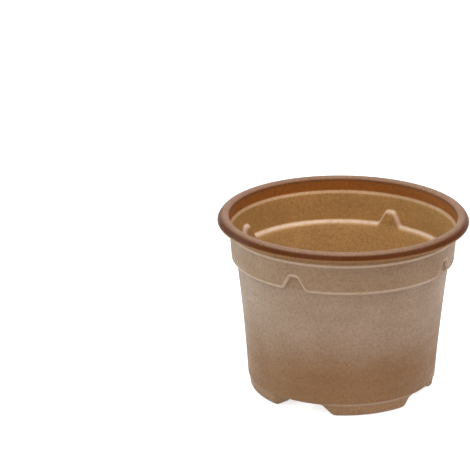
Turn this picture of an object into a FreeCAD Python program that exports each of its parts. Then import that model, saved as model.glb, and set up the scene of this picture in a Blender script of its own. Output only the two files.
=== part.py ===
# Round plant pot, formed as one thin shell: rolled rim, neck, collar with stacking lugs, tapered
# wall, raised floor with drain holes, and hollow feet.
# Lengths are millimetres and angles are degrees. +Z is up, and the origin is on the ground under
# the pot's axis. The front of the pot is its -Y side.

import FreeCAD
import Part
import math
import os

import Sketcher

# Driving dimensions: name, value and what it measures

SIZES = [
    ("pot_height", 76.2, "ground to the top of the rim"),
    ("wall", 0.9, "thickness of the formed shell"),
    ("rim_radius", 52.5, "outside of the rolled rim"),
    ("rim_crown", 1.6, "rounding of the roll's upper edge"),
    ("rim_flat", 0.9, "upright band between the roll's two roundings"),
    ("rim_hem", 1.1, "rounding of the roll's lower edge"),
    ("rim_return", 2.1, "width of the hem that turns back under the rim"),
    ("mouth_bevel", 0.6, "bevel of the rim's inner edge"),
    ("neck_setback", 4.1, "how far the neck stands in from the outside of the roll"),
    ("neck_height", 2.7, "underside of the roll to the shoulder under the neck"),
    ("shoulder_width", 1.0, "how far the shoulder goes in"),
    ("shoulder_height", 1.1, "how far the shoulder goes down"),
    ("collar_height", 11.1, "foot of the shoulder to the stacking step"),
    ("collar_draw", 1.0, "how far the collar draws in on its way down to the stacking step"),
    ("step_width", 2.2, "how far the stacking step goes in"),
    ("step_height", 1.7, "how far the stacking step goes down"),
    ("bend_radius", 0.5, "bends of the shoulder and the stacking step"),
    ("base_radius", 39.4, "outside of the tapered wall at the floor"),
    ("base_height", 5.0, "ground to the underside of the floor"),
    ("base_bend", 1.7, "bend between the tapered wall and the floor"),
    ("lug_count", 4, "number of lugs, and of feet"),
    ("lug_turn", 62.0, "turn of the lugs from the pot's front"),
    ("lug_height", 5.8, "stacking step to the top of a lug"),
    ("lug_top_width", 4.2, "width of a lug at its top"),
    ("lug_foot_width", 11.4, "width of a lug at the stacking step"),
    ("lug_bend", 0.9, "bends of a lug's upper corners"),
    ("foot_setback", 0.7, "how far a foot's outside stands in from the tapered wall at the floor"),
    ("foot_width", 10.6, "width of a foot at the floor, from its outside towards the axis"),
    ("foot_lean", 0.8, "how far a foot's outside and inside lean in"),
    ("foot_bend", 1.9, "bend of a foot's lower edges"),
    ("gap_top_width", 15.4, "gap between two feet at the floor"),
    ("gap_ground_width", 27.6, "gap between two feet at the ground"),
    ("drain_radius", 4.0, "radius of a drain hole"),
    ("drain_setback", 11.4, "tapered wall at the floor to the middle of a drain hole between two feet"),
    ("overrun", 3.0, "how far a cut runs past the surface that it opens"),
]

doc = FreeCAD.newDocument("plant_pot")
sheet = doc.addObject("Spreadsheet::Sheet", "size")
for row, (name, value, meaning) in enumerate(SIZES, start=1):
    sheet.set(f"A{row}", meaning)
    sheet.set(f"B{row}", str(value))
    sheet.setAlias(f"B{row}", name)
doc.recompute()

FULL_TURN = 360
UPWARD = FreeCAD.Vector(0, 0, 1)

# Heights and radii that several outlines share

RIM_FOOT = "size.pot_height - size.rim_crown - size.rim_flat - size.rim_hem"
NECK_FOOT = f"{RIM_FOOT} - size.neck_height"
COLLAR_TOP = f"{NECK_FOOT} - size.shoulder_height"
STEP_TOP = f"{COLLAR_TOP} - size.collar_height"
STEP_FOOT = f"{STEP_TOP} - size.step_height"
LUG_TOP = f"{STEP_TOP} + size.lug_height"
NECK_RADIUS = "size.rim_radius - size.neck_setback"
COLLAR_TOP_RADIUS = f"{NECK_RADIUS} - size.shoulder_width"
STEP_RADIUS = f"{COLLAR_TOP_RADIUS} - size.collar_draw"
WALL_TOP_RADIUS = f"{STEP_RADIUS} - size.step_width"
FOOT_RADIUS = "size.base_radius - size.foot_setback"
DRAIN_REACH = "size.base_radius - size.drain_setback"

# How much a slanting surface leans sideways for each millimetre of height

WALL_LEAN = f"({WALL_TOP_RADIUS} - size.base_radius) / ({STEP_FOOT} - size.base_height)"
LUG_LEAN = "(size.lug_foot_width - size.lug_top_width) / 2 / size.lug_height"
GAP_LEAN = "(size.gap_ground_width - size.gap_top_width) / 2 / size.base_height"
FOOT_LEAN = "size.foot_lean / size.base_height"


def number(expression):
    """The present value of an expression on the sheet."""
    return float(sheet.evalExpression(expression))


def origin_item(body, role):
    """The plane or axis of the body's own origin that has this role."""
    return next(item for item in body.Origin.OriginFeatures if item.Role == role)


def tie(sketch, geometry, end, axis, expression):
    """Hold one coordinate of a point at an expression, or on the sketch's axis where it is zero."""
    if expression == "0":
        sketch_axis = -2 if axis == "DistanceX" else -1
        sketch.addConstraint(Sketcher.Constraint("PointOnObject", geometry, end, sketch_axis))
        return
    distance = Sketcher.Constraint(axis, -1, 1, geometry, end, number(expression))
    index = sketch.addConstraint(distance)
    sketch.setExpression(f"Constraints[{index}]", expression)


def new_sketch(body, name, plane):
    """An empty sketch on one of the body's own origin planes."""
    sketch = body.newObject("Sketcher::SketchObject", name)
    sketch.AttachmentSupport = [(origin_item(body, plane), "")]
    sketch.MapMode = "FlatFace"
    return sketch


def bend_arc(centre, radius, arrival, departure, turns_left):
    """An arc round a corner, with the numbers of its ends where the outline arrives and departs."""
    begin, end = (arrival, departure) if turns_left else (departure, arrival)
    first_angle = math.atan2(begin.y - centre.y, begin.x - centre.x)
    last_angle = math.atan2(end.y - centre.y, end.x - centre.x)
    circle = Part.Circle(centre, UPWARD, radius)
    ends = (1, 2) if turns_left else (2, 1)
    return (Part.ArcOfCircle(circle, first_angle, last_angle),) + ends


def outline(body, name, corners):
    """A closed upright sketch of straight sides. A corner is its x, its z and any bend radius."""
    sketch = new_sketch(body, name, "XZ_Plane")
    points = [FreeCAD.Vector(number(corner[0]), number(corner[1]), 0) for corner in corners]
    arriving, leaving, bends = [], [], {}
    for index, point in enumerate(points):
        towards_last = (points[index - 1] - point).normalize()
        towards_next = (points[(index + 1) % len(points)] - point).normalize()
        half_angle = towards_last.getAngle(towards_next) / 2
        radius = number(corners[index][2]) if len(corners[index]) > 2 else 0
        trim = radius / math.tan(half_angle)
        arriving.append(point + towards_last * trim)
        leaving.append(point + towards_next * trim)
        if radius:
            middle = (towards_last + towards_next).normalize()
            centre = point + middle * (radius / math.sin(half_angle))
            turns_left = towards_next.cross(towards_last).z > 0
            bends[index] = bend_arc(centre, radius, arriving[-1], leaving[-1], turns_left)
    sides = []
    for index in range(len(points)):
        next_arrival = arriving[(index + 1) % len(points)]
        sides.append(sketch.addGeometry(Part.LineSegment(leaving[index], next_arrival), False))
    for index, corner in enumerate(corners):
        last_side, next_side = sides[index - 1], sides[index]
        if index in bends:
            drawn, first, second = bends[index]
            arc = sketch.addGeometry(drawn, False)
            sketch.addConstraint(Sketcher.Constraint("Tangent", last_side, 2, arc, first))
            sketch.addConstraint(Sketcher.Constraint("Tangent", arc, second, next_side, 1))
            size = sketch.addConstraint(Sketcher.Constraint("Radius", arc, drawn.Radius))
            sketch.setExpression(f"Constraints[{size}]", corner[2])
            tip = sketch.addGeometry(Part.Point(points[index]), True)
            sketch.addConstraint(Sketcher.Constraint("PointOnObject", tip, 1, last_side))
            sketch.addConstraint(Sketcher.Constraint("PointOnObject", tip, 1, next_side))
        else:
            tip = next_side
            sketch.addConstraint(Sketcher.Constraint("Coincident", last_side, 2, next_side, 1))
        tie(sketch, tip, 1, "DistanceX", corner[0])
        tie(sketch, tip, 1, "DistanceY", corner[1])
    return sketch


def turned(body, name, corners):
    """Add the solid that an outline sweeps when it turns about the pot's axis."""
    sketch = outline(body, f"{name}_outline", corners)
    feature = body.newObject("PartDesign::Revolution", name)
    feature.Profile = sketch
    feature.ReferenceAxis = (sketch, ["V_Axis"])
    feature.Angle = FULL_TURN
    doc.recompute()


def repeated(body, feature):
    """Repeat a feature about the pot's axis, once for each lug."""
    pattern = body.newObject("PartDesign::PolarPattern", f"{feature.Name}_ring")
    pattern.Originals = [feature]
    pattern.Axis = (origin_item(body, "Z_Axis"), [""])
    pattern.Angle = FULL_TURN
    pattern.setExpression("Occurrences", "size.lug_count")
    body.Tip = pattern
    doc.recompute()


def notched(body, name, low, high, half_width, corner_bend=None):
    """Cut a tapering notch outward from the pot's axis, between two heights, for each lug."""
    top_corner = () if corner_bend is None else (corner_bend,)
    sketch = outline(body, f"{name}_outline", [
        (f"-({half_width(low)})", low),
        (half_width(low), low),
        (half_width(high), high) + top_corner,
        (f"-({half_width(high)})", high) + top_corner,
    ])
    pocket = body.newObject("PartDesign::Pocket", name)
    pocket.Profile = sketch
    pocket.Type = "Length"
    pocket.setExpression("Length", "size.rim_radius")
    doc.recompute()
    if pocket.Shape.isNull() or pocket.Shape.Volume >= pocket.BaseFeature.Shape.Volume:
        raise RuntimeError(f"{name} cuts nothing")
    repeated(body, pocket)


def lift(inset, width, height):
    """How far a bevel rises when its surface is set back by inset, so that the shell stays even."""
    return f"({inset}) * {width} / ({height} + sqrt({width} * {width} + {height} * {height}))"


def wall_radius(inset, height):
    """Radius of the tapered wall's surface, set back by inset, at a height."""
    return f"size.base_radius - ({inset}) + ({WALL_LEAN}) * ({height} - size.base_height)"


def add_feet(body, name, inset):
    """A ring of feet, with its surface set back by inset, and the gaps between them."""
    cut_top = "size.base_height + size.base_bend"
    ring_top = f"{cut_top} + size.wall"
    outside = f"{FOOT_RADIUS} - ({inset})"
    inside = f"{FOOT_RADIUS} - size.foot_width + ({inset})"
    foot_bend = f"size.foot_bend - ({inset})"
    turned(body, f"{name}_feet", [
        (f"{outside} - ({FOOT_LEAN}) * (size.base_height - ({inset}))", inset, foot_bend),
        (f"{outside} + ({FOOT_LEAN}) * ({ring_top} - size.base_height)", ring_top),
        (f"{inside} - ({FOOT_LEAN}) * ({ring_top} - size.base_height)", ring_top),
        (f"{inside} + ({FOOT_LEAN}) * (size.base_height - ({inset}))", inset, foot_bend),
    ])

    def half_gap(height):
        widening = f"({GAP_LEAN}) * (size.base_height - ({height}))"
        setback = f"({inset}) * sqrt(1 + ({GAP_LEAN}) * ({GAP_LEAN}))"
        return f"size.gap_top_width / 2 + {widening} + {setback}"

    notched(body, f"{name}_gap", "-size.overrun", cut_top, half_gap)


def add_lugs(body, name, inset):
    """Notches in the collar, with their surface set back by inset, floored by the tapered wall."""
    def half_lug(height):
        widening = f"({LUG_LEAN}) * ({LUG_TOP} - ({height}))"
        setback = f"({inset}) * sqrt(1 + ({LUG_LEAN}) * ({LUG_LEAN}))"
        return f"size.lug_top_width / 2 + {widening} + {setback}"

    low = f"{STEP_FOOT} - size.bend_radius"
    notched(body, f"{name}_lug", low, f"{LUG_TOP} + ({inset})", half_lug, "size.lug_bend")
    floor = f"size.base_height + ({inset})"
    turned(body, f"{name}_wall", [
        ("0", floor),
        (wall_radius(inset, floor), floor, f"size.base_bend - ({inset})"),
        (wall_radius(inset, COLLAR_TOP), COLLAR_TOP),
        ("0", COLLAR_TOP),
    ])


def formed_skin(name, inset, rim):
    """One surface of the shell as a solid: its feet, its turned sides up to the rim, its lugs."""
    body = doc.addObject("PartDesign::Body", name)
    doc.recompute()
    floor = f"size.base_height + ({inset})"
    shoulder = lift(inset, "size.shoulder_width", "size.shoulder_height")
    step = lift(inset, "size.step_width", "size.step_height")
    step_foot = f"{STEP_FOOT} + {step}"
    add_feet(body, name, inset)
    turned(body, f"{name}_sides", [
        ("0", floor),
        (wall_radius(inset, floor), floor, f"size.base_bend - ({inset})"),
        (wall_radius(inset, step_foot), step_foot, "size.bend_radius"),
        (f"{STEP_RADIUS} - ({inset})", f"{STEP_TOP} + {step}", "size.bend_radius"),
        (f"{COLLAR_TOP_RADIUS} - ({inset})", f"{COLLAR_TOP} + {shoulder}", "size.bend_radius"),
        (f"{NECK_RADIUS} - ({inset})", f"{NECK_FOOT} + {shoulder}", "size.bend_radius"),
    ] + rim)
    add_lugs(body, name, inset)
    return body


def add_drain(body, name, reach):
    """A round drain hole through the floor, at a distance from the pot's axis."""
    sketch = new_sketch(body, f"{name}_outline", "XY_Plane")
    centre = FreeCAD.Vector(0, -number(reach), 0)
    radius = number("size.drain_radius")
    circle = sketch.addGeometry(Part.Circle(centre, UPWARD, radius), False)
    index = sketch.addConstraint(Sketcher.Constraint("Radius", circle, radius))
    sketch.setExpression(f"Constraints[{index}]", "size.drain_radius")
    tie(sketch, circle, 3, "DistanceX", "0")
    tie(sketch, circle, 3, "DistanceY", reach if reach == "0" else f"-({reach})")
    pad = body.newObject("PartDesign::Pad", name)
    pad.Profile = sketch
    pad.Type = "Length"
    pad.setExpression("Length", "size.base_height + size.wall + size.base_bend")
    doc.recompute()
    return pad


# The outside of the pot, up to the roll of its rim, which is open underneath

roll_inside = "size.rim_radius - size.wall"
hem_end = "size.rim_radius - size.rim_return"
outside = formed_skin("outside", "0", [
    (NECK_RADIUS, "size.pot_height - size.wall"),
    (roll_inside, "size.pot_height - size.wall", "size.rim_crown - size.wall"),
    (roll_inside, f"{RIM_FOOT} + size.wall"),
    (hem_end, f"{RIM_FOOT} + size.wall"),
    (hem_end, RIM_FOOT),
    ("size.rim_radius", RIM_FOOT, "size.rim_hem"),
    ("size.rim_radius", "size.pot_height", "size.rim_crown"),
    ("0", "size.pot_height"),
])

# The hollow inside the pot, open through the mouth and the drain holes

mouth_radius = f"{NECK_RADIUS} - size.wall"
hollow = formed_skin("hollow", "size.wall", [
    (mouth_radius, "size.pot_height - size.mouth_bevel", "size.mouth_bevel"),
    (f"{mouth_radius} + size.mouth_bevel + size.overrun", "size.pot_height + size.overrun"),
    ("0", "size.pot_height + size.overrun"),
])
repeated(hollow, add_drain(hollow, "gap_drain", DRAIN_REACH))
add_drain(hollow, "centre_drain", "0")

# The pot is the outside less the hollow, turned until its lugs stand as they do seen from the front

pot = doc.addObject("Part::Cut", "pot")
pot.Label = "pot"
pot.Base = outside
pot.Tool = hollow
turn = FreeCAD.Rotation(UPWARD, number("size.lug_turn"))
pot.Placement = FreeCAD.Placement(FreeCAD.Vector(), turn)
pot.setExpression("Placement.Rotation.Angle", "size.lug_turn * 1 deg")
doc.recompute()

for item in doc.Objects:
    if "Invalid" in item.State or "Error" in item.State:
        raise RuntimeError(f"{item.Name} failed: {item.State}")
if pot.Shape.isNull() or not pot.Shape.isValid() or len(pot.Shape.Solids) != 1:
    raise RuntimeError("the pot is not one valid solid")

os.makedirs("parts", exist_ok=True)
pot.Shape.exportStep(f"parts/{pot.Label}.step")
box = pot.Shape.optimalBoundingBox()
print(f"pot: {box.XLength:.2f} x {box.YLength:.2f} x {box.ZLength:.2f} mm, {pot.Shape.Volume:.0f} mm3")
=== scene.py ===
"""Round plant pot of formed fibre: its shell, its finishes, and a plain studio round it.

Lengths are metres. +Z is up, the pot's axis is the Z axis, and its front is the -Y side.
"""

import math
from collections import namedtuple

import bmesh
import bpy
import numpy as np
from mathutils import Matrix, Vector


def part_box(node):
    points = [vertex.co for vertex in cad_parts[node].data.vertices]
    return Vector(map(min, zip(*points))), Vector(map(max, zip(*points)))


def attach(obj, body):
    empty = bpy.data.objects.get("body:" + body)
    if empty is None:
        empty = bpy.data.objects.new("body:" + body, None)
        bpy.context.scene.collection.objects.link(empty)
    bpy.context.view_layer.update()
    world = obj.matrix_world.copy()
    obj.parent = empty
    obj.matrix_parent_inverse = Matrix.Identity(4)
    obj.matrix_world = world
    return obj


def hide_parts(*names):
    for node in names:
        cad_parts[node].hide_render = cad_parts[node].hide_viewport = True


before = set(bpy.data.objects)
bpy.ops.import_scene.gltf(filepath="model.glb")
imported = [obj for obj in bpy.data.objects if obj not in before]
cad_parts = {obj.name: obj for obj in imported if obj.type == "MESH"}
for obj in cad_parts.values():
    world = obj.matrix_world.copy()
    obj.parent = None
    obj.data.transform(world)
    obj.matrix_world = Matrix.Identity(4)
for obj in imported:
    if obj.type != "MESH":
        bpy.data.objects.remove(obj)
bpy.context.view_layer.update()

bl_info = {
    "name": "Formed fibre plant pot",
    "version": (1, 0, 0),
    "blender": (4, 5, 0),
    "location": "3D View > Sidebar > Plant pot",
    "description": "Makes a plant pot of formed fibre, its finishes and a plain studio",
    "category": "Object",
}

MM = 0.001
FULL_TURN = 2 * math.pi
NODE_NAME = "pot"
BODY_NAME = "root"
PIECE_NAME = "formed_pot"
CREST_NAME = "crest"

POT_LOW, POT_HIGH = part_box(NODE_NAME)
POT_HEIGHT = (POT_HIGH[2] - POT_LOW[2]) / MM
RIM_RADIUS = (POT_HIGH[0] - POT_LOW[0]) / 2 / MM


# What a user can change


def length(name, millimetres, description):
    """A length that a user can change, given here in millimetres."""
    return bpy.props.FloatProperty(
        name=name, description=description, default=millimetres * MM, min=0, unit="LENGTH", precision=5
    )


def angle(name, degrees, description):
    """An angle that a user can change, given here in degrees."""
    return bpy.props.FloatProperty(
        name=name, description=description, default=math.radians(degrees), subtype="ANGLE"
    )


def share(name, value, description):
    """A number from 0 to 1 that a user can change."""
    return bpy.props.FloatProperty(
        name=name, description=description, default=value, min=0, max=1, subtype="FACTOR"
    )


def power(name, watts, description):
    """A lamp's power that a user can change."""
    return bpy.props.FloatProperty(name=name, description=description, default=watts, min=0, unit="POWER")


def colour(name, value, description):
    """A linear colour that a user can change."""
    return bpy.props.FloatVectorProperty(
        name=name, description=description, default=value, min=0, max=1, size=3, subtype="COLOR"
    )


class PotShape(bpy.types.PropertyGroup):
    """Sizes of the formed shell."""

    pot_height: length("Height", POT_HEIGHT, "Ground to the top of the rim")
    wall: length("Wall", 0.9, "Thickness of the formed shell")
    rim_radius: length("Rim radius", RIM_RADIUS, "Outside of the rolled rim")
    rim_depth: length("Rim depth", 3.6, "Top of the rim to the underside of the roll")
    rim_return: length("Rim return", 2.1, "Width of the hem that turns back under the rim")
    neck_radius: length("Neck radius", 48.5, "Outside of the neck under the rim")
    neck_depth: length("Neck depth", 6.3, "Top of the rim to the shoulder under the neck")
    shoulder_width: length("Shoulder width", 1.0, "How far the shoulder goes in")
    shoulder_height: length("Shoulder height", 1.1, "How far the shoulder goes down")
    collar_radius: length("Collar radius", 46.5, "Outside of the collar at the stacking step")
    collar_depth: length("Collar depth", 18.9, "Top of the rim to the stacking step")
    step_width: length("Step width", 2.2, "How far the stacking step goes in")
    step_height: length("Step height", 1.7, "How far the stacking step goes down")
    bend: length("Bend", 0.5, "Bends of the shoulder and the stacking step")
    base_radius: length("Base radius", 39.4, "Outside of the tapered wall at the floor")
    base_height: length("Base height", 5.0, "Ground to the underside of the floor")
    base_bend: length("Base bend", 1.7, "Bend between the tapered wall and the floor")
    wall_bow: length("Wall bow", 0.4, "How far the tapered wall bows inward half way up")
    wander: length("Wander", 0.07, "How far the formed wall wanders from a true round")
    lug_count: bpy.props.IntProperty(
        name="Lugs", description="Number of lugs, and of feet", default=4, min=1
    )
    lug_turn: angle("Lug turn", 62, "Turn of the lugs from the pot's front")
    lug_stray: angle("Lug stray", 0.65, "How far the lugs stray from even spacing")
    lug_rise: length("Lug rise", 6.0, "Middle of the stacking step to the middle of a lug's top edge")
    lug_top: length("Lug top", 3.2, "Width of a lug at its top")
    lug_foot: length("Lug foot", 10.3, "Width of a lug at the stacking step")
    lug_side: length("Lug side", 0.8, "Width of the bevel up the sides of a lug")
    lug_top_bend: length("Lug top bend", 1.2, "Bends of a lug's upper corners")
    lug_foot_bend: length("Lug foot bend", 2.6, "Bends where a lug meets the stacking step")
    foot_radius: length("Foot radius", 38.9, "Outside of a foot at the floor")
    foot_width: length("Foot width", 10.6, "Width of a foot at the floor, towards the axis")
    foot_lean: length("Foot lean", 0.55, "How far a foot's outside and inside lean in")
    foot_bend: length("Foot bend", 2.5, "Bend of a foot's lower edges")
    gap_top: length("Gap top", 14.0, "Gap between two feet at the floor")
    gap_ground: length("Gap at ground", 27.0, "Gap between two feet at the ground")
    drain_radius: length("Drain radius", 4.0, "Radius of a drain hole")
    drain_reach: length("Drain reach", 28.0, "Axis of the pot to a drain hole between two feet")


class FibreFinish(bpy.types.PropertyGroup):
    """Colours and surface of the formed fibre."""

    outside: colour("Wall", (0.292, 0.188, 0.122), "Outside of the tapered wall")
    # Painted shade: the wall is darker and browner towards the ground
    outside_low_shade: colour("Wall, low", (0.206, 0.096, 0.033), "Outside of the wall near the ground")
    collar: colour("Collar", (0.265, 0.157, 0.085), "Outside of the collar above the stacking step")
    neck: colour("Neck", (0.272, 0.134, 0.048), "Outside of the neck under the roll")
    foot: colour("Feet", (0.248, 0.130, 0.057), "Outer faces of the feet")
    inside: colour("Inside", (0.450, 0.245, 0.084), "Inside of the wall")
    inside_collar: colour("Inside of the collar", (0.376, 0.192, 0.058), "Inside of the collar")
    inside_neck: colour("Inside of the neck", (0.270, 0.082, 0.009), "Denser fibre inside the neck")
    # Painted shade: a darker band just under the rim's inner edge
    inside_lip_shade: colour("Lip", (0.185, 0.062, 0.010), "Inside of the neck, just under the rim's top")
    roll: colour("Roll", (0.090, 0.024, 0.005), "Outer face of the rolled rim")
    # Painted highlight: the light band on the roll's glossy crown
    roll_top_highlight: colour("Top of the roll", (0.305, 0.175, 0.112), "Top of the rolled rim")
    hem: colour("Hem", (0.285, 0.142, 0.060), "Lower edge of the rolled rim")
    # Painted highlights, partly wear from the tooling: light lines along the outer bends and the inner
    # ledges
    worn_highlight: colour("Worn bends", (0.600, 0.430, 0.320), "Outer bends that the tooling has rubbed")
    worn_highlight_inside: colour("Worn ledges", (0.800, 0.600, 0.455), "Inner ledges that the tooling has rubbed")
    grain: length("Grain", 1.0, "Size of the pebbled grain")
    grain_depth: length("Grain depth", 0.20, "Depth of the pebbled grain")
    roughness: share("Roughness", 0.56, "Roughness of the wall")
    roll_roughness: share("Roll roughness", 0.36, "Roughness of the rolled rim")


class StudioStage(bpy.types.PropertyGroup):
    """Floor, lamps and camera."""

    floor_width: length("Floor width", 6000, "Width of the floor")
    fill: share("Fill", 0.52, "Strength of the light that comes from all round")
    key_power: power("Key", 8.1, "Power of the soft lamp at the upper left")
    top_power: power("Top", 6.9, "Power of the soft lamp at the upper right")
    side_power: power("Side", 5.5, "Power of the low lamp at the left")
    camera_distance: length("Camera distance", 1269.0, "Camera to the pot's axis, along the floor")
    camera_offset: length("Camera offset", 45.1, "How far the camera stands to the left of the pot's axis")
    camera_height: length("Camera height", 511.5, "Camera above the floor")
    camera_tilt: angle("Camera tilt", 19.33, "How far the camera looks down")
    camera_lens: bpy.props.FloatProperty(
        name="Lens", description="Focal length in millimetres", default=246.6, min=1
    )


# Spacing of the upright lines of points: beside a lug, then over the end of a foot, then further off,
# and how far the first two reach from the middle of a lug

LUG_PITCH, FOOT_PITCH, PLAIN_PITCH = 0.42 * MM, 0.8 * MM, 1.45 * MM
LUG_REACH, FOOT_REACH = 9.0 * MM, 17.0 * MM

# Numbers of rings, of steps round a bend and of sides of a drain hole, and the least turn of an edge
# that shows as sharp

BEND_STEPS = 6
FLAT_RINGS = 8
INNER_FACE_RINGS, SOLE_RINGS, OUTER_FACE_RINGS = 4, 5, 5
WALL_RINGS = 12
STEP_RINGS = 15
LEVELLING_RINGS = 3
SHOULDER_RINGS = 15
CROWN_RINGS = 40
DRAIN_SIDES = 64
SHARP_ANGLE = math.radians(50)

# How far below and above the middle of the stacking step's bevel its rings follow its lugs. They have
# levelled out this many heights of the step below it, and this many bends below the shoulder.

BELOW_STEP, ABOVE_STEP = 1.1 * MM, 1.65 * MM
LEVEL_STEPS, LEVEL_BENDS = 4, 2

# How far the ends of the feet turn from lying along the gap to pointing at the pot's axis, and the bends
# of those ends as a share of the ramp between the floor and the ground

END_TURN_SHARE = 0.85
END_BEND_SHARE = 0.12

# Waves of the wall's departure from a true round: strength, number round the pot, start, and twist upward

WAVES = ((1.0, 2, 0.7, 3.0), (0.6, 5, 2.1, -5.0), (0.4, 9, 4.0, 9.0))

# The light lines along the bends are painted highlights, partly wear from the tooling. Along the stacking
# step, outside and inside, each pair of values is for the level part and for the steep sides of a lug: the
# line's place across the bevel, its reach in heights of the step, and its strength.

LedgeLine = namedtuple("LedgeLine", "place reach strength")
OUTER_LEDGE = LedgeLine(place=(0.4, 0.5), reach=(0.55, 0.3), strength=(2.6, 2.6))
INNER_LEDGE = LedgeLine(place=(0.1, 0.1), reach=(0.6, 0.6), strength=(1.0, 0.65))

# On the shoulder, the reach is in heights of the shoulder, and the line is fainter inside

SHOULDER_LINE_REACH, SHOULDER_LINE_STRENGTH = 0.95, 1.5
INNER_SHOULDER_SHARE = 0.34

# On the bend between the wall and the floor, places and reaches are shares of the bend. The painted
# highlights there are strongest at the pot's front, which they leave at a given turn and fade away from.

GAP_LINE_PLACE, GAP_LINE_REACH = 0.1, 0.35
FOOT_LINE_REACH, FOOT_LINE_STRENGTH = 0.8, 1.6
BASE_LINE_TURN = math.radians(-65)
BASE_LINE_FADE, BASE_LINE_END = 3, 0.55
BASE_LINE_LEAST, BASE_LINE_MOST = 0.1, 0.62

# The rolled rim's outline: up inside the roll, round its hem, and over its outer face and crown to the
# mouth. Each corner has a line and a level, and lies out from the line and up from the level by these
# thicknesses of the wall. The bends of the crown's inner corners are in millimetres.

UNDER_ROLL = (
    ("neck", 0, "roll_foot", -1),
    ("neck", 0, "roll_foot", 0),
    ("neck", 0, "top", -2.2),
    ("neck", 0.25, "top", -1.5),
    ("neck", 1.0, "top", -1.3),
    ("roll_inside", -1.5, "top", -1.45),
    ("roll_inside", -0.7, "top", -2.1),
    ("roll_inside", -0.1, "top", -3.0),
    ("roll_inside", -0.3, "roll_foot", 1),
    ("hem", 0, "roll_foot", 1),
)
HEM = (
    ("hem", -0.25, "roll_foot", 0.75),
    ("hem", -0.25, "roll_foot", 0.3),
    ("hem", 0, "roll_foot", 0),
)
CROWN = (
    ("hem", 0, "roll_foot", 0),
    ("rim", -0.4, "roll_foot", 0),
    ("rim", 0, "roll_foot", 0.5),
    ("rim", 0, "top", -2.6),
    ("rim", -0.95, "top", -1.15),
    ("rim", -1.7, "top", -0.4),
    ("rim", -3.0, "top", 0),
    ("mouth", 1.4, "top", -0.05),
    ("mouth", 0.45, "top", -0.35),
    ("mouth", 0, "top", -1.1),
    ("mouth", 0, "top", -3),
)
CROWN_BENDS = (0.4, 0.4, 1.0, 1.2, 0.8, 1.5, 1.2, 0.6, 0.6)

# The roll's finish ends this far outside the mouth, as a share of the wall's thickness

CROWN_END_SHARE = 0.05

ZONES = ("outside", "inside", "roll")

# One ring of points, of which each value is one number, or one for each column. crest says how strong
# its painted highlight is, and turn is its angle where that isn't the columns' own.

Ring = namedtuple("Ring", "radius height crest turn", defaults=(0.0, None))


def between(first, second, part):
    """A value on the way from the first to the second, as part goes from 0 to 1."""
    return first + part * (second - first)


def soft_corner(distance, bend):
    """Zero before a corner and the distance past it, with the corner rounded over its bend."""
    rounded = (distance + bend) ** 2 / (4 * bend)
    return np.where(distance < -bend, 0, np.where(distance > bend, distance, rounded))


def soft_ramp(distance, width, bend):
    """Rise from 0 to 1 across a width that is centred on zero, with both corners rounded."""
    half = width / 2
    return (soft_corner(distance + half, bend) - soft_corner(distance - half, bend)) / width


def ramp_shift(reach, depth, inset):
    """How far a ramp's corners move along its reach when its surface is set back by inset."""
    return inset * depth / (reach + math.hypot(reach, depth))


def line_share(distance, reach, strength=1.0):
    """1 on a painted highlight line, and falling to 0 at its reach."""
    return np.clip(strength * (1 - np.abs(distance) / reach), 0, 1)


def rounded_path(corners, bends):
    """Points along straight lines, with an arc of the given radius at each inner corner."""
    points = [np.array(corners[0])]
    for index, bend in enumerate(bends, start=1):
        corner = np.array(corners[index])
        before = corner - corners[index - 1]
        after = corners[index + 1] - corner
        before = before / np.linalg.norm(before)
        after = after / np.linalg.norm(after)
        turn = math.atan2(before[0] * after[1] - before[1] * after[0], before @ after)
        start = corner - before * bend * math.tan(abs(turn) / 2)
        side = math.copysign(1, turn)
        centre = start + side * bend * np.array((-before[1], before[0]))
        spoke = start - centre
        for part_turn in np.linspace(0, turn, 2 * BEND_STEPS + 1):
            cosine, sine = math.cos(part_turn), math.sin(part_turn)
            turned = (cosine * spoke[0] - sine * spoke[1], sine * spoke[0] + cosine * spoke[1])
            points.append(centre + turned)
    points.append(np.array(corners[-1]))
    return np.array(points)


def travelled_along(path):
    """Distance travelled along a path at each of its points."""
    return np.concatenate(([0], np.cumsum(np.linalg.norm(np.diff(path, axis=0), axis=1))))


def points_at(path, stops):
    """Points of a path at these distances along it."""
    travelled = travelled_along(path)
    return np.stack([np.interp(stops, travelled, path[:, axis]) for axis in (0, 1)], axis=1)


# Levels and lines of the shell


def step_top(shape):
    """Height of the stacking step's upper edge."""
    return shape.pot_height - shape.collar_depth


def shoulder_top(shape):
    """Height of the shoulder's upper edge, where the neck starts."""
    return shape.pot_height - shape.neck_depth


def level_below_step(shape):
    """Height under the stacking step at which the rings no longer follow its lugs."""
    return step_top(shape) - LEVEL_STEPS * shape.step_height


def level_above_step(shape):
    """Height over the stacking step at which the rings no longer follow its lugs."""
    return shoulder_top(shape) - shape.shoulder_height - LEVEL_BENDS * shape.bend


def lug_turns(shape):
    """Angle of each lug from the +X axis, which is also that of the gap between two feet under it."""
    return shape.lug_turn - math.pi / 2 + np.arange(shape.lug_count) * FULL_TURN / shape.lug_count


def wall_line(shape, height, inset):
    """Radius of the tapered wall, set back by inset. It bows inward a little half way up."""
    top = step_top(shape) - shape.step_height
    top_radius = shape.collar_radius - shape.step_width
    lean = (top_radius - shape.base_radius) / (top - shape.base_height)
    middle = (top + shape.base_height) / 2
    off_middle = (height - middle) / (top - middle)
    bow = shape.wall_bow * np.clip(1 - off_middle ** 2, 0, 1)
    return shape.base_radius + lean * (height - shape.base_height) - bow - inset


def collar_line(shape, height, inset):
    """Radius of the collar, set back by inset."""
    top = shoulder_top(shape) - shape.shoulder_height
    foot = step_top(shape)
    lean = (shape.neck_radius - shape.shoulder_width - shape.collar_radius) / (top - foot)
    return shape.collar_radius + lean * (height - foot) - inset


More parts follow.
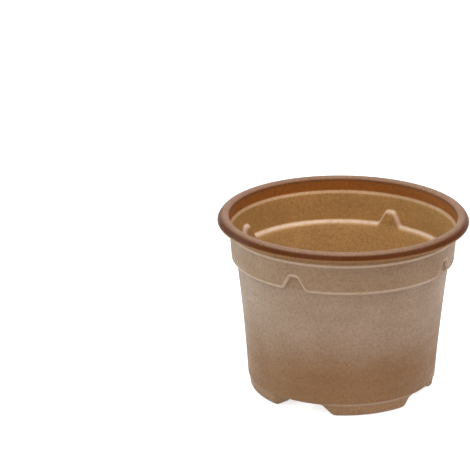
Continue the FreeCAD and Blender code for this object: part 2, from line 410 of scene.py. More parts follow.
def wandering(shape, turn, height):
    """A small departure from a true round, none at the ground and at the rim."""
    above = np.clip(height / shape.pot_height, 0, 1)
    fade = np.sin(math.pi * above) ** 2
    waves = sum(
        strength * np.sin(number * turn + start + twist * above) for strength, number, start, twist in WAVES
    )
    return shape.wander * fade * waves


class Columns:
    """Where the upright lines of points stand: one sector for each lug, with its stacking step."""

    def __init__(self, shape):
        self.shape = shape
        self.round_radius = shape.collar_radius
        half_sector = math.pi / shape.lug_count * self.round_radius
        step = step_top(shape) - shape.step_height / 2
        corners = [
            (0, step + shape.lug_rise),
            (shape.lug_top / 2, step + shape.lug_rise),
            (shape.lug_foot / 2, step),
            (half_sector, step),
        ]
        path = rounded_path(corners, [shape.lug_top_bend, shape.lug_foot_bend])
        marks = np.interp([0, LUG_REACH, FOOT_REACH, half_sector], path[:, 0], travelled_along(path))
        stops = [np.zeros(1)]
        for low, high, pitch in zip(marks, marks[1:], (LUG_PITCH, FOOT_PITCH, PLAIN_PITCH)):
            stops.append(np.linspace(low, high, math.ceil((high - low) / pitch) + 1)[1:])
        across, height = points_at(path, np.concatenate(stops)).T
        across = np.concatenate((-across[:0:-1], across[:-1]))
        height = np.concatenate((height[:0:-1], height[:-1]))
        tangent = np.stack((np.gradient(across), np.gradient(height)), axis=1)
        tangent /= np.linalg.norm(tangent, axis=1)[:, None]
        count = shape.lug_count
        self.local = np.tile(across / self.round_radius, count)
        centres = lug_turns(shape)
        even = self.local + np.repeat(centres, len(across))
        self.turn = even + shape.lug_stray * np.cos(even - centres[-1])
        self.step_height = np.tile(height, count)
        self.normal_across = np.tile(-tangent[:, 1], count)
        self.normal_up = np.tile(tangent[:, 0], count)


def foot_share(columns, radius, inset):
    """0 over a gap between two feet and 1 over a foot, for a point at this radius."""
    shape = columns.shape
    ramp = (shape.gap_ground - shape.gap_top) / 2
    setback = ramp_shift(ramp, shape.base_height, inset)
    turned_radius = between(radius, shape.foot_radius, END_TURN_SHARE)
    aside = np.abs(turned_radius * np.sin(columns.local))
    return soft_ramp(aside - shape.gap_top / 2 - setback - ramp / 2, ramp, END_BEND_SHARE * ramp)


def foot_outline(shape, inset):
    """Outline across a foot, down its inner face, round its sole and up its outer face."""
    floor = shape.base_height + inset
    lean = shape.foot_lean / shape.base_height
    inner = shape.foot_radius - shape.foot_width + inset
    outer = shape.foot_radius - inset
    bend = shape.foot_bend - inset
    low = inset + bend
    outline = [
        (inner + lean * (floor - height), height) for height in np.linspace(floor, low, INNER_FACE_RINGS)
    ]
    outer_face = [
        (outer - lean * (floor - height), height) for height in np.linspace(low, floor, OUTER_FACE_RINGS)
    ]
    inner_centre = outline[-1][0] + bend
    outer_centre = outer_face[0][0] - bend
    turns = np.linspace(0, math.pi / 2, BEND_STEPS)
    outline += [(inner_centre - bend * math.cos(turn), low - bend * math.sin(turn)) for turn in turns[1:]]
    outline += [(radius, inset) for radius in np.linspace(inner_centre, outer_centre, SOLE_RINGS)[1:-1]]
    outline += [(outer_centre + bend * math.sin(turn), low - bend * math.cos(turn)) for turn in turns[:-1]]
    return outline + outer_face[:-1]


def base_line_share(turn):
    """How strong the painted highlights at the base are: most at the pot's front, and little elsewhere."""
    fade = BASE_LINE_FADE * (np.cos(turn - BASE_LINE_TURN) - BASE_LINE_END)
    return np.clip(fade, BASE_LINE_LEAST, BASE_LINE_MOST)


def floor_rings(columns, inset):
    """Rings of the floor, the feet and the bend up to the wall, from the middle drain hole out."""
    shape = columns.shape
    floor = shape.base_height + inset
    inner = shape.foot_radius - shape.foot_width + inset
    outer = shape.foot_radius - inset
    before_feet = inner - (shape.foot_bend - inset)
    rings = [Ring(radius, floor) for radius in np.linspace(shape.drain_radius, before_feet, FLAT_RINGS)]

    bend = shape.base_bend - inset
    centre = wall_line(shape, floor + bend, inset) - bend
    outline = foot_outline(shape, inset)
    for (radius, height), flat in zip(outline, np.linspace(inner, centre, len(outline))):
        over_foot = foot_share(columns, radius, inset)
        rings.append(Ring(between(flat, radius, over_foot), between(floor, height, over_foot)))

    # Over a foot, the bend starts where the foot's outer face meets it
    meeting = math.acos(min(1, max(0, (outer - centre) / bend)))
    over_foot = foot_share(columns, outer, inset)
    for part in np.linspace(0, 1, 2 * BEND_STEPS + 1):
        along = between(-math.pi / 2 * (1 - part), -meeting * (1 - part), over_foot)
        gap_line = line_share(part - GAP_LINE_PLACE, GAP_LINE_REACH)
        foot_line = line_share(part, FOOT_LINE_REACH, FOOT_LINE_STRENGTH)
        crest = between(gap_line, foot_line, over_foot) * base_line_share(columns.turn)
        rings.append(Ring(centre + bend * np.cos(along), floor + bend + bend * np.sin(along), crest))
    return rings


def wall_rings(columns, inset):
    """Rings of the plain tapered wall, between the bend at the floor and the stacking step's rings."""
    shape = columns.shape
    heights = np.linspace(shape.base_height + shape.base_bend, level_below_step(shape), WALL_RINGS)
    return [
        Ring(wall_line(shape, height, inset) + wandering(shape, columns.turn, height), height)
        for height in heights[1:-1]
    ]


def step_rings(columns, inset):
    """Rings across the stacking step and round its lugs, with a few below and above that level out."""
    shape = columns.shape
    line = OUTER_LEDGE if inset == 0 else INNER_LEDGE
    steepness = columns.normal_across ** 2
    bevel = between(shape.step_height, shape.lug_side, steepness)
    line_place = bevel * between(*line.place, steepness)
    line_reach = shape.step_height * between(*line.reach, steepness)
    line_strength = between(*line.strength, steepness)
    lift = ramp_shift(shape.step_height, shape.step_width, inset)

    def followed(offset):
        """Place across and height of the points at this offset from the middle of the bevel."""
        moved = offset + lift
        return columns.normal_across * moved, columns.step_height + columns.normal_up * moved

    def ring(across, height, offset):
        """The ring through these places, at this offset from the middle of the bevel."""
        turn = columns.turn + across / columns.round_radius
        climb = soft_ramp(offset, bevel, shape.bend / 2)
        radius = between(wall_line(shape, height, inset), collar_line(shape, height, inset), climb)
        crest = line_share(offset - line_place, line_reach, line_strength)
        return Ring(radius + wandering(shape, turn, height), height, crest, turn)

    def levelling(offset, level, part):
        """A ring between a level one, at part 0, and the one at this offset, at part 1."""
        across, height = followed(offset)
        return ring(part * across, between(level, height, part), offset)

    parts = np.linspace(0, 1, LEVELLING_RINGS + 1)[:-1]
    rings = [levelling(-BELOW_STEP, level_below_step(shape), part) for part in parts]
    rings += [ring(*followed(offset), offset) for offset in np.linspace(-BELOW_STEP, ABOVE_STEP, STEP_RINGS)]
    rings += [levelling(ABOVE_STEP, level_above_step(shape), part) for part in reversed(parts)]
    return rings


def shoulder_rings(columns, inset):
    """Rings from the top of the collar up to the neck, with both bends rounded."""
    shape = columns.shape
    neck_foot = shoulder_top(shape) + ramp_shift(shape.shoulder_height, shape.shoulder_width, inset)
    collar_top = neck_foot - shape.shoulder_height
    middle = (neck_foot + collar_top) / 2
    reach = shape.shoulder_height / 2 + LEVEL_BENDS * shape.bend
    rings = []
    for height in np.linspace(middle - reach, middle + reach, SHOULDER_RINGS):
        climb = soft_ramp(height - middle, shape.shoulder_height, shape.bend / 2)
        collar = collar_line(shape, np.minimum(height, collar_top), inset)
        radius = between(collar, shape.neck_radius - inset, climb)
        line_reach = SHOULDER_LINE_REACH * shape.shoulder_height
        crest = line_share(height - middle, line_reach, SHOULDER_LINE_STRENGTH)
        rings.append(Ring(radius + wandering(shape, columns.turn, height), height, crest))
    return rings


def roll_corners(shape, outline):
    """Radius and height of the corners of an outline of the rolled rim."""
    lines = {
        "mouth": shape.neck_radius - shape.wall,
        "neck": shape.neck_radius,
        "hem": shape.rim_radius - shape.rim_return,
        "roll_inside": shape.rim_radius - shape.wall,
        "rim": shape.rim_radius,
    }
    levels = {"roll_foot": shape.pot_height - shape.rim_depth, "top": shape.pot_height}
    return [
        (lines[line] + out * shape.wall, levels[level] + up * shape.wall) for line, out, level, up in outline
    ]


def crown_points(shape):
    """Radius and height of points over the outer face and the crown of the roll, to the mouth."""
    path = rounded_path(roll_corners(shape, CROWN), [bend * MM for bend in CROWN_BENDS])
    return points_at(path, np.linspace(0, travelled_along(path)[-1], CROWN_RINGS))


class Shell:
    """Rings of points, in order from the middle drain hole out, up over the rim and back inside."""

    def __init__(self, columns):
        self.columns = columns
        self.rings = []
        self.crests = []
        self.zones = []

    def add(self, zone, rings, rubbed=1.0):
        """Add rings of one zone, whose painted highlight lines have this share of their strength."""
        for ring in rings:
            turn = self.columns.turn if ring.turn is None else ring.turn
            ones = np.ones_like(turn)
            radius = ring.radius * ones
            points = (radius * np.cos(turn), radius * np.sin(turn), ring.height * ones)
            self.rings.append(np.stack(points, axis=1))
            self.crests.append(rubbed * ring.crest * ones)
            self.zones.append(zone)

    def add_roll(self, shape):
        """Add the rings of the rolled rim, up inside it, round its hem and over it to the mouth."""
        self.add("outside", [Ring(*corner) for corner in roll_corners(shape, UNDER_ROLL)])
        self.add("roll", [Ring(*corner) for corner in roll_corners(shape, HEM)])
        edge = shape.neck_radius - (1 - CROWN_END_SHARE) * shape.wall
        for radius, height in crown_points(shape)[1:]:
            self.add("roll" if radius > edge else "inside", [Ring(radius, height)])


def shape_shell(shape):
    """All rings of the shell, in order."""
    columns = Columns(shape)
    shell = Shell(columns)
    for rings in (floor_rings, wall_rings, step_rings, shoulder_rings):
        shell.add("outside", rings(columns, 0))
    shell.add_roll(shape)
    inset = shape.wall
    shell.add("inside", reversed(shoulder_rings(columns, inset)), INNER_SHOULDER_SHARE)
    shell.add("inside", reversed(step_rings(columns, inset)))
    shell.add("inside", reversed(wall_rings(columns, inset)))
    shell.add("inside", reversed(floor_rings(columns, inset)), 0)
    return shell


def shell_mesh(shell):
    """A closed mesh through the rings. Each strip of faces takes the zone of its first ring."""
    ring_count, column_count = len(shell.rings), len(shell.rings[0])
    points = np.concatenate(shell.rings)
    here = np.arange(ring_count)[:, None] * column_count
    above = (np.arange(ring_count)[:, None] + 1) % ring_count * column_count
    column = np.arange(column_count)[None, :]
    beside = (column + 1) % column_count
    faces = np.stack((here + column, above + column, above + beside, here + beside), axis=2).reshape(-1, 4)
    mesh = bpy.data.meshes.new(PIECE_NAME)
    mesh.vertices.add(len(points))
    mesh.vertices.foreach_set("co", points.ravel())
    mesh.loops.add(faces.size)
    mesh.loops.foreach_set("vertex_index", faces.ravel())
    mesh.polygons.add(len(faces))
    mesh.polygons.foreach_set("loop_start", np.arange(0, faces.size, 4))
    zone_numbers = np.repeat([ZONES.index(zone) for zone in shell.zones], column_count)
    mesh.update(calc_edges=True)
    mesh.polygons.foreach_set("material_index", zone_numbers.astype(np.int32))
    crest = mesh.attributes.new(CREST_NAME, "FLOAT", "POINT")
    crest.data.foreach_set("value", np.concatenate(shell.crests))
    if mesh.validate():
        raise RuntimeError("the shell's mesh has faults")
    return mesh


def drain_cutter(shape):
    """Round bars that stand where the drain holes between the feet go."""
    bars = bmesh.new()
    for turn in lug_turns(shape):
        made = bmesh.ops.create_cone(
            bars, cap_ends=True, segments=DRAIN_SIDES, radius1=shape.drain_radius,
            radius2=shape.drain_radius, depth=2 * shape.base_bend,
        )
        place = (
            shape.drain_reach * math.cos(turn), shape.drain_reach * math.sin(turn),
            shape.base_height + shape.wall / 2,
        )
        bmesh.ops.translate(bars, verts=made["verts"], vec=place)
    mesh = bpy.data.meshes.new("drain_bars")
    bars.to_mesh(mesh)
    bars.free()
    return bpy.data.objects.new("drain_bars", mesh)


def pierce(piece, cutter):
    """Cut the bars out of the piece, and keep the result as its mesh."""
    bpy.context.scene.collection.objects.link(cutter)
    cut = piece.modifiers.new("drain_holes", "BOOLEAN")
    cut.operation = "DIFFERENCE"
    cut.solver = "EXACT"
    cut.object = cutter
    depsgraph = bpy.context.evaluated_depsgraph_get()
    pierced = bpy.data.meshes.new_from_object(piece.evaluated_get(depsgraph))
    piece.modifiers.clear()
    whole, piece.data = piece.data, pierced
    bars = cutter.data
    bpy.data.objects.remove(cutter)
    bpy.data.meshes.remove(bars)
    bpy.data.meshes.remove(whole)


# Shader nodes


def put(tree, kind, inputs=None, **settings):
    """Add a node, set its options, and set or link its inputs."""
    made = tree.nodes.new(kind)
    for name, value in settings.items():
        setattr(made, name, value)
    for socket, value in (inputs or {}).items():
        if isinstance(value, bpy.types.NodeSocket):
            tree.links.new(value, made.inputs[socket])
        else:
            made.inputs[socket].default_value = value
    return made


def mixed(tree, factor, first, second, blend="MIX"):
    """Mix two colours, and give the result's socket."""
    inputs = {0: factor, 6: first, 7: second}
    return put(tree, "ShaderNodeMix", inputs, data_type="RGBA", blend_type=blend).outputs[2]


def tinted(tree, plain, tint):
    """Multiply a colour by a tint, and give the result's socket."""
    return mixed(tree, 1.0, plain, tint, "MULTIPLY")


def blended(tree, factor, first, second):
    """Go from the first number to the second by a factor, and give the result's socket."""
    return put(tree, "ShaderNodeMix", {0: factor, 2: first, 3: second}, data_type="FLOAT").outputs[0]


def ranged(tree, value, low, high, to_low=0.0, to_high=1.0):
    """Map a value smoothly from one range to another, and give the result's socket."""
    return put(
        tree, "ShaderNodeMapRange",
        {"Value": value, "From Min": low, "From Max": high, "To Min": to_low, "To Max": to_high},
        interpolation_type="SMOOTHSTEP",
    ).outputs[0]


def calculated(tree, operation, first, second):
    """Do one sum with two numbers, and give the result's socket."""
    return put(tree, "ShaderNodeMath", {0: first, 1: second}, operation=operation).outputs[0]


def place_on_pot(tree):
    """The socket of a point's place in the pot's own frame."""
    return put(tree, "ShaderNodeTexCoord").outputs["Object"]


def stretched(tree, place, scale):
    """The socket of a place scaled along each axis."""
    return put(tree, "ShaderNodeMapping", {"Vector": place, "Scale": scale}).outputs[0]


def noise(tree, place, scale, detail, roughness, distortion=0.0):
    """The socket of an uneven value, mostly near a half."""
    return put(tree, "ShaderNodeTexNoise", {
        "Vector": place, "Scale": scale, "Detail": detail, "Roughness": roughness, "Distortion": distortion,
    }).outputs[0]


def opaque(rgb):
    """A colour with full alpha."""
    return (*rgb, 1.0)


def layered(tree, lowest, layers):
    """Lay colours over the lowest one, each by the socket of its share, and give the result's socket."""
    result = opaque(lowest)
    for factor, rgb in layers:
        result = mixed(tree, factor, result, opaque(rgb))
    return result


def new_group(name, inputs, outputs):
    """An empty shader node group with these sockets, and its two end nodes."""
    tree = bpy.data.node_groups.new(name, "ShaderNodeTree")
    for label, kind, value in inputs:
        socket = tree.interface.new_socket(name=label, in_out="INPUT", socket_type=kind)
        if value is not None:
            socket.default_value = value
    for label, kind in outputs:
        tree.interface.new_socket(name=label, in_out="OUTPUT", socket_type=kind)
    return tree, tree.nodes.new("NodeGroupInput"), tree.nodes.new("NodeGroupOutput")


# Grain: how fibres are drawn out along each axis, how much finer specks are, what cells and specks add,
# and the range of heights that goes from dark to light

FIBRE_STRETCH = (0.35, 0.35, 1.6)
SPECK_FINENESS = 2.7
CELL_SHARE, SPECK_SHARE = 0.6, 0.25
DARK_HEIGHT, LIGHT_HEIGHT = 0.15, 0.95
DARK_SPECK, LIGHT_SPECK = (0.85, 0.84, 0.83, 1), (1.14, 1.15, 1.16, 1)

# Mottle: clouds and level bands to the metre, how bands are drawn out, what each adds, and the range of
# their sum that goes from dark to light

CLOUD_SCALE, BAND_SCALE = 75.0, 260.0
BAND_STRETCH = (0.12, 0.12, 1.0)
CLOUD_SHARE, BAND_SHARE = 0.6, 0.4
DARK_CLOUD, LIGHT_CLOUD = 0.35, 0.65
DARK_PATCH, LIGHT_PATCH = (0.62, 0.56, 0.50, 1), (1.30, 1.32, 1.36, 1)
ROUGHNESS_SPREAD = 0.06

# Painted highlights: breaks to the metre, the range of their noise, and what is left of a line in a break

BREAK_SCALE = 420.0
BREAK_LOW, BREAK_HIGH, BREAK_LEAST = 0.2, 0.6, 0.55
CREST_LOW, CREST_HIGH = 0.1, 0.9


def fibre_grain_group():
    """Pebbled grain with short fibres laid round the pot: a height, and how light each spot is."""
    tree, given, result = new_group(
        "fibre_grain",
        [("Pitch", "NodeSocketFloat", 1.1 * MM), ("Fibres", "NodeSocketFloat", 0.5)],
        [("Height", "NodeSocketFloat"), ("Lightness", "NodeSocketFloat")],
    )
    place = place_on_pot(tree)
    scale = calculated(tree, "DIVIDE", 1.0, given.outputs["Pitch"])
    pebbles = noise(tree, place, scale, detail=2.0, roughness=0.55, distortion=0.3)
    cells = put(
        tree, "ShaderNodeTexVoronoi", {"Vector": place, "Scale": scale, "Smoothness": 0.7},
        feature="SMOOTH_F1",
    ).outputs["Distance"]
    drawn_out = stretched(tree, place, FIBRE_STRETCH)
    strands = noise(tree, drawn_out, scale, detail=3.0, roughness=0.6, distortion=0.6)
    fine_scale = calculated(tree, "MULTIPLY", scale, SPECK_FINENESS)
    specks = noise(tree, place, fine_scale, detail=1.0, roughness=0.5)
    strand_part = calculated(tree, "MULTIPLY", strands, given.outputs["Fibres"])
    cell_part = calculated(tree, "MULTIPLY", cells, CELL_SHARE)
    speck_part = calculated(tree, "MULTIPLY", specks, SPECK_SHARE)
    body = calculated(tree, "SUBTRACT", calculated(tree, "ADD", pebbles, strand_part), cell_part)
    height = calculated(tree, "ADD", body, speck_part)
    tree.links.new(height, result.inputs["Height"])
    tree.links.new(ranged(tree, height, DARK_HEIGHT, LIGHT_HEIGHT), result.inputs["Lightness"])
    return tree


def mottle_group():
    """Broad uneven colour of formed fibre: cloudy patches and faint bands round the pot."""
    tree, given, result = new_group(
        "mottle",
        [("Colour", "NodeSocketColor", None), ("Strength", "NodeSocketFloat", 0.2)],
        [("Colour", "NodeSocketColor"), ("Cloud", "NodeSocketFloat")],
    )
    place = place_on_pot(tree)
    clouds = noise(tree, place, CLOUD_SCALE, detail=3.0, roughness=0.6)
    drawn_out = stretched(tree, place, BAND_STRETCH)
    bands = noise(tree, drawn_out, BAND_SCALE, detail=3.0, roughness=0.65)
    cloud_part = calculated(tree, "MULTIPLY", clouds, CLOUD_SHARE)
    band_part = calculated(tree, "MULTIPLY", bands, BAND_SHARE)
    cloud = ranged(tree, calculated(tree, "ADD", cloud_part, band_part), DARK_CLOUD, LIGHT_CLOUD)
    plain = given.outputs["Colour"]
    spread = mixed(tree, cloud, tinted(tree, plain, DARK_PATCH), tinted(tree, plain, LIGHT_PATCH))
    tree.links.new(mixed(tree, given.outputs["Strength"], plain, spread), result.inputs["Colour"])
    tree.links.new(cloud, result.inputs["Cloud"])
    return tree


def worn_highlight_group():
    """Painted highlights, partly wear: lighter, broken lines along the bends that the tooling rubs."""
    tree, given, result = new_group(
        "worn_highlight_edges",
        [("Colour", "NodeSocketColor", None), ("Lit", "NodeSocketColor", None),
         ("Strength", "NodeSocketFloat", 0.6)],
        [("Colour", "NodeSocketColor")],
    )
    crest = put(tree, "ShaderNodeAttribute", attribute_name=CREST_NAME).outputs["Fac"]
    line = ranged(tree, crest, CREST_LOW, CREST_HIGH)
    breaks = noise(tree, place_on_pot(tree), BREAK_SCALE, detail=3.0, roughness=0.65)
    broken = ranged(tree, breaks, BREAK_LOW, BREAK_HIGH, BREAK_LEAST, 1.0)
    mask = calculated(tree, "MULTIPLY", line, broken)
    strong = calculated(tree, "MULTIPLY", mask, given.outputs["Strength"])
    worn_highlight = mixed(tree, strong, given.outputs["Colour"], given.outputs["Lit"])
    tree.links.new(worn_highlight, result.inputs["Colour"])
    return tree


# Where colours change over the pot. The low colour of the wall, a painted shade, ends between two heights,
# as shares of the pot's, and wavers. Other changes are in heights of the step and the shoulder, and, for the
# rim's lip (a painted shade), face and crown (a painted highlight), in thicknesses of the wall down from the
# top or in from the rim.

LOW_END, HIGH_START = 0.22, 0.52
WALL_WAVER, WAVER_SCALE = 5 * MM, 60.0
STEP_BLEND, NECK_BLEND, INNER_NECK_BLEND = 0.5, 0.3, 0.5
LIP_START, LIP_END = 3.0, 1.6
FACE_START, FACE_END = 3.5, 2.4
CROWN_START, CROWN_END = 1.8, 0.5
# The crown's painted highlight is narrow at the pot's sides and wide at its front and back
CROWN_EDGE, WIDE_CROWN, NARROW_CROWN = 0.6, 1.8, 3.2

# How strong a zone's painted highlight lines are, its grain's depth as a share of the wall's, its
# specular level, and how strong its mottle is

Surface = namedtuple("Surface", "rubbed depth shine mottle")
OUTSIDE_SURFACE = Surface(rubbed=0.6, depth=1.0, shine=0.4, mottle=0.12)
INSIDE_SURFACE = Surface(rubbed=0.9, depth=0.5, shine=0.35, mottle=0.2)
ROLL_SURFACE = Surface(rubbed=0.0, depth=0.2, shine=0.04, mottle=0.1)


def height_share(tree, low, high, waver=0.0):
    """A socket that rises smoothly from 0 to 1 between two heights, which may waver round the pot."""
    place = place_on_pot(tree)
    height = put(tree, "ShaderNodeSeparateXYZ", {0: place}).outputs["Z"]
    if waver:
        uneven = noise(tree, place, WAVER_SCALE, detail=3.0, roughness=0.6)
        shift = calculated(tree, "MULTIPLY", calculated(tree, "SUBTRACT", uneven, 0.5), 2 * waver)
        height = calculated(tree, "ADD", height, shift)
    return ranged(tree, height, low, high)


def from_axis(tree):
    """The socket of the level line from the pot's axis to a point."""
    inputs = {0: place_on_pot(tree), 1: (1, 1, 0)}
    return put(tree, "ShaderNodeVectorMath", inputs, operation="MULTIPLY").outputs["Vector"]


def radius_share(tree, low, high):
    """A socket that goes smoothly from 0 to 1 between two distances from the pot's axis."""
    radius = put(tree, "ShaderNodeVectorMath", {0: from_axis(tree)}, operation="LENGTH").outputs["Value"]
    return ranged(tree, radius, low, high)


def front_share(tree):
    """A socket that is 1 at the pot's front and back, and 0 at its sides."""
    facing = put(tree, "ShaderNodeVectorMath", {0: from_axis(tree)}, operation="NORMALIZE").outputs["Vector"]
    towards_front = put(tree, "ShaderNodeSeparateXYZ", {0: facing}).outputs["Y"]
    return calculated(tree, "MULTIPLY", towards_front, towards_front)


def fibre_material(name, groups, base, worn_highlight, roughness, finish, surface):
    """A fibre surface. base makes the plain colour's socket from the tree."""
    material = bpy.data.materials.new(name)
    material.use_nodes = True
    tree = material.node_tree
    shader = tree.nodes["Principled BSDF"]
    mottle = put(tree, "ShaderNodeGroup", node_tree=groups["mottle"])
    tree.links.new(base(tree), mottle.inputs["Colour"])
    mottle.inputs["Strength"].default_value = surface.mottle
    plain = mottle.outputs["Colour"]
    grain = put(tree, "ShaderNodeGroup", node_tree=groups["grain"])
    grain.inputs["Pitch"].default_value = finish.grain
    speckled = mixed(
        tree, grain.outputs["Lightness"], tinted(tree, plain, DARK_SPECK), tinted(tree, plain, LIGHT_SPECK)
    )
    edges = put(tree, "ShaderNodeGroup", node_tree=groups["worn_highlight"])
    tree.links.new(speckled, edges.inputs["Colour"])
    edges.inputs["Lit"].default_value = opaque(worn_highlight)
    edges.inputs["Strength"].default_value = surface.rubbed
    tree.links.new(edges.outputs["Colour"], shader.inputs["Base Color"])
    uneven = ranged(
        tree, mottle.outputs["Cloud"], 0.0, 1.0, roughness + ROUGHNESS_SPREAD, roughness - ROUGHNESS_SPREAD
    )
    tree.links.new(uneven, shader.inputs["Roughness"])
    bump = put(tree, "ShaderNodeBump", {
        "Height": grain.outputs["Height"], "Strength": 1.0, "Distance": surface.depth * finish.grain_depth,
    })
    tree.links.new(bump.outputs["Normal"], shader.inputs["Normal"])
    shader.inputs["Specular IOR Level"].default_value = surface.shine
    return material


def pot_materials(finish, shape):
    """The outside, the inside and the rolled rim, in the order of their zones."""
    groups = {"grain": fibre_grain_group(), "mottle": mottle_group(), "worn_highlight": worn_highlight_group()}
    top, wall = shape.pot_height, shape.wall
    step, step_height = step_top(shape), shape.step_height
    neck_foot, shoulder_height = shoulder_top(shape), shape.shoulder_height

    def outside(tree):
        # Painted shade: the wall's low colour, darker and browner, up to where the upper colour takes over
        foot = height_share(tree, shape.base_height, shape.base_height + shape.base_bend)
        upper = height_share(tree, LOW_END * top, HIGH_START * top, WALL_WAVER)
        collar = height_share(tree, step - STEP_BLEND * step_height, step)
        neck = height_share(tree, neck_foot - NECK_BLEND * shoulder_height, neck_foot)
        return layered(tree, finish.foot, [
            (foot, finish.outside_low_shade), (upper, finish.outside), (collar, finish.collar), (neck, finish.neck)
        ])

    def inside(tree):
        collar = height_share(tree, step - STEP_BLEND * step_height, step + STEP_BLEND * step_height)
        neck = height_share(tree, neck_foot, neck_foot + INNER_NECK_BLEND * shoulder_height)
        # Painted shade just under the rim's top
        lip = height_share(tree, top - LIP_START * wall, top - LIP_END * wall)
        return layered(tree, finish.inside, [
            (collar, finish.inside_collar), (neck, finish.inside_neck), (lip, finish.inside_lip_shade)
        ])

    def roll(tree):
        face = height_share(tree, top - FACE_START * wall, top - FACE_END * wall)
        high = height_share(tree, top - CROWN_START * wall, top - CROWN_END * wall)
        edge = shape.rim_radius - CROWN_EDGE * wall
        wide = radius_share(tree, edge, shape.rim_radius - WIDE_CROWN * wall)
        narrow = radius_share(tree, edge, shape.rim_radius - NARROW_CROWN * wall)
        # The painted highlight on the crown, wider at the front and back
        crown = calculated(tree, "MULTIPLY", blended(tree, front_share(tree), narrow, wide), high)
        return layered(tree, finish.hem, [(face, finish.roll), (crown, finish.roll_top_highlight)])

    rough, roll_rough = finish.roughness, finish.roll_roughness
    return [
        fibre_material("outside_fibre", groups, outside, finish.worn_highlight, rough, finish, OUTSIDE_SURFACE),
        fibre_material("inside_fibre", groups, inside, finish.worn_highlight_inside, rough, finish, INSIDE_SURFACE),
        fibre_material("rolled_rim", groups, roll, finish.worn_highlight, roll_rough, finish, ROLL_SURFACE),
    ]


# Studio: the floor's own colour, how far what the camera sees of it is lifted towards white, and the
# lamps, which all face a point inside the pot

WHITE = (1, 1, 1, 1)
FLOOR_COLOUR = (0.80, 0.80, 0.80, 1)
FLOOR_GLOW = 0.75
SENSOR_WIDTH = 36
LAMP_AIM = Vector((0, 0, 0.04))
Lamp = namedtuple("Lamp", "name place width colour")
KEY_LAMP = Lamp("key_lamp", (-0.55, -0.80, 0.95), 0.9, (1, 1, 1))
TOP_LAMP = Lamp("top_lamp", (0.78, -0.22, 0.98), 0.9, (1, 1, 1))
SIDE_LAMP = Lamp("side_lamp", (-1.05, 0.30, 0.30), 0.6, (0.58, 0.88, 1.0))


def background_share(tree):
    """1 for rays that see the white surroundings from the camera, a gloss or a glass, and 0 for light."""
    path = put(tree, "ShaderNodeLightPath")
    seen = calculated(tree, "MAXIMUM", path.outputs["Is Camera Ray"], path.outputs["Is Glossy Ray"])
    return calculated(tree, "MAXIMUM", seen, path.outputs["Is Transmission Ray"])


def floor_material():
    """White floor: what the camera sees is lifted towards white, and keeps a soft shadow."""
    material = bpy.data.materials.new("pale_floor")
    material.use_nodes = True
    tree = material.node_tree
    tree.nodes.clear()
    matt = put(tree, "ShaderNodeBsdfDiffuse", {"Color": FLOOR_COLOUR})
    strength = calculated(tree, "MULTIPLY", background_share(tree), FLOOR_GLOW)
    glow = put(tree, "ShaderNodeEmission", {"Color": WHITE, "Strength": strength})
    both = put(tree, "ShaderNodeAddShader", {0: matt.outputs[0], 1: glow.outputs[0]})
    put(tree, "ShaderNodeOutputMaterial", {"Surface": both.outputs[0]})
    return material


def white_world(fill):
    """White surroundings, which light the pot from all round at the given strength."""
    world = bpy.data.worlds.new("white_surroundings")
    world.use_nodes = True
    tree = world.node_tree
    tree.nodes.clear()
    light = put(tree, "ShaderNodeBackground", {"Color": WHITE, "Strength": fill})
    seen = put(tree, "ShaderNodeBackground", {"Color": WHITE, "Strength": 1.0})
    inputs = {0: background_share(tree), 1: light.outputs[0], 2: seen.outputs[0]}
    chosen = put(tree, "ShaderNodeMixShader", inputs)
    put(tree, "ShaderNodeOutputWorld", {"Surface": chosen.outputs[0]})
    return world


def add_floor(scene, width):
    """A level floor at the pot's feet, which isn't part of the pot."""
    half = width / 2
    mesh = bpy.data.meshes.new("floor")
    corners = [(-half, -half, 0), (half, -half, 0), (half, half, 0), (-half, half, 0)]
    mesh.from_pydata(corners, [], [(0, 1, 2, 3)])
    floor = bpy.data.objects.new("floor", mesh)
    mesh.materials.append(floor_material())
    scene.collection.objects.link(floor)


def add_lamp(scene, lamp, watts):
    """A square soft lamp that faces the pot."""
    light = bpy.data.lights.new(lamp.name, "AREA")
    light.shape = "SQUARE"
    light.size = lamp.width
    light.energy = watts
    light.color = lamp.colour
    made = bpy.data.objects.new(lamp.name, light)
    made.location = lamp.place
    made.rotation_euler = (made.location - LAMP_AIM).to_track_quat("Z", "Y").to_euler()
    scene.collection.objects.link(made)


def add_camera(scene, stage):
    """The camera, in front of the pot and a little to its left, looking down on it."""
    camera = bpy.data.objects.new("camera", bpy.data.cameras.new("camera"))
    camera.data.sensor_width = SENSOR_WIDTH
    camera.data.lens = stage.camera_lens
    camera.location = (-stage.camera_offset, -stage.camera_distance, stage.camera_height)
    camera.rotation_euler = (math.pi / 2 - stage.camera_tilt, 0, 0)
    scene.collection.objects.link(camera)
    scene.camera = camera


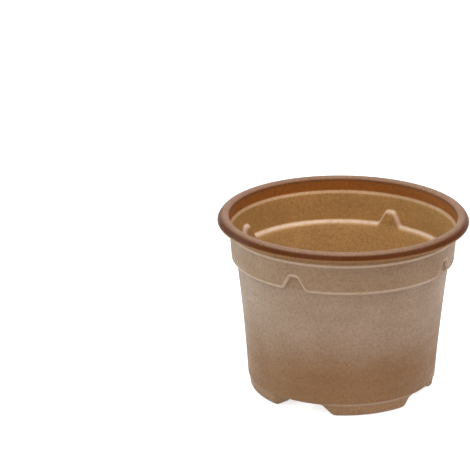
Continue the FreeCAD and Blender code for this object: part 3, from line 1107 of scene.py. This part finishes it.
class PLANT_POT_OT_form(bpy.types.Operator):
    """Form the pot's shell, pierce its drain holes and give it its finishes"""

    bl_idname = "plant_pot.form"
    bl_label = "Form the pot"

    def execute(self, context):
        shape = context.scene.pot_shape
        piece = bpy.data.objects.new(PIECE_NAME, shell_mesh(shape_shell(shape)))
        context.scene.collection.objects.link(piece)
        for material in pot_materials(context.scene.fibre_finish, shape):
            piece.data.materials.append(material)
        pierce(piece, drain_cutter(shape))
        mesh = piece.data
        mesh.polygons.foreach_set("use_smooth", np.ones(len(mesh.polygons), dtype=bool))
        mesh.set_sharp_from_angle(angle=SHARP_ANGLE)
        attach(piece, BODY_NAME)
        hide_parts(NODE_NAME)
        return {"FINISHED"}


class PLANT_POT_OT_stage(bpy.types.Operator):
    """Set the floor, the lamps, the surroundings and the camera"""

    bl_idname = "plant_pot.stage"
    bl_label = "Set the stage"

    def execute(self, context):
        scene = context.scene
        stage = scene.studio_stage
        add_floor(scene, stage.floor_width)
        scene.world = white_world(stage.fill)
        add_lamp(scene, KEY_LAMP, stage.key_power)
        add_lamp(scene, TOP_LAMP, stage.top_power)
        add_lamp(scene, SIDE_LAMP, stage.side_power)
        add_camera(scene, stage)
        scene.view_settings.view_transform = "Standard"
        return {"FINISHED"}


class PLANT_POT_PT_panel(bpy.types.Panel):
    """Buttons for the pot and its stage"""

    bl_idname = "PLANT_POT_PT_panel"
    bl_label = "Plant pot"
    bl_space_type = "VIEW_3D"
    bl_region_type = "UI"
    bl_category = "Plant pot"

    def draw(self, context):
        for operator in (PLANT_POT_OT_form, PLANT_POT_OT_stage):
            self.layout.operator(operator.bl_idname)


CLASSES = (
    PotShape, FibreFinish, StudioStage, PLANT_POT_OT_form, PLANT_POT_OT_stage, PLANT_POT_PT_panel,
)
SETTINGS = {"pot_shape": PotShape, "fibre_finish": FibreFinish, "studio_stage": StudioStage}


def register():
    for item in CLASSES:
        bpy.utils.register_class(item)
    for name, group in SETTINGS.items():
        setattr(bpy.types.Scene, name, bpy.props.PointerProperty(type=group))


def unregister():
    for name in SETTINGS:
        delattr(bpy.types.Scene, name)
    for item in reversed(CLASSES):
        bpy.utils.unregister_class(item)


def main():
    register()
    bpy.ops.plant_pot.form()
    bpy.ops.plant_pot.stage()


if __name__ == "__main__":
    main()
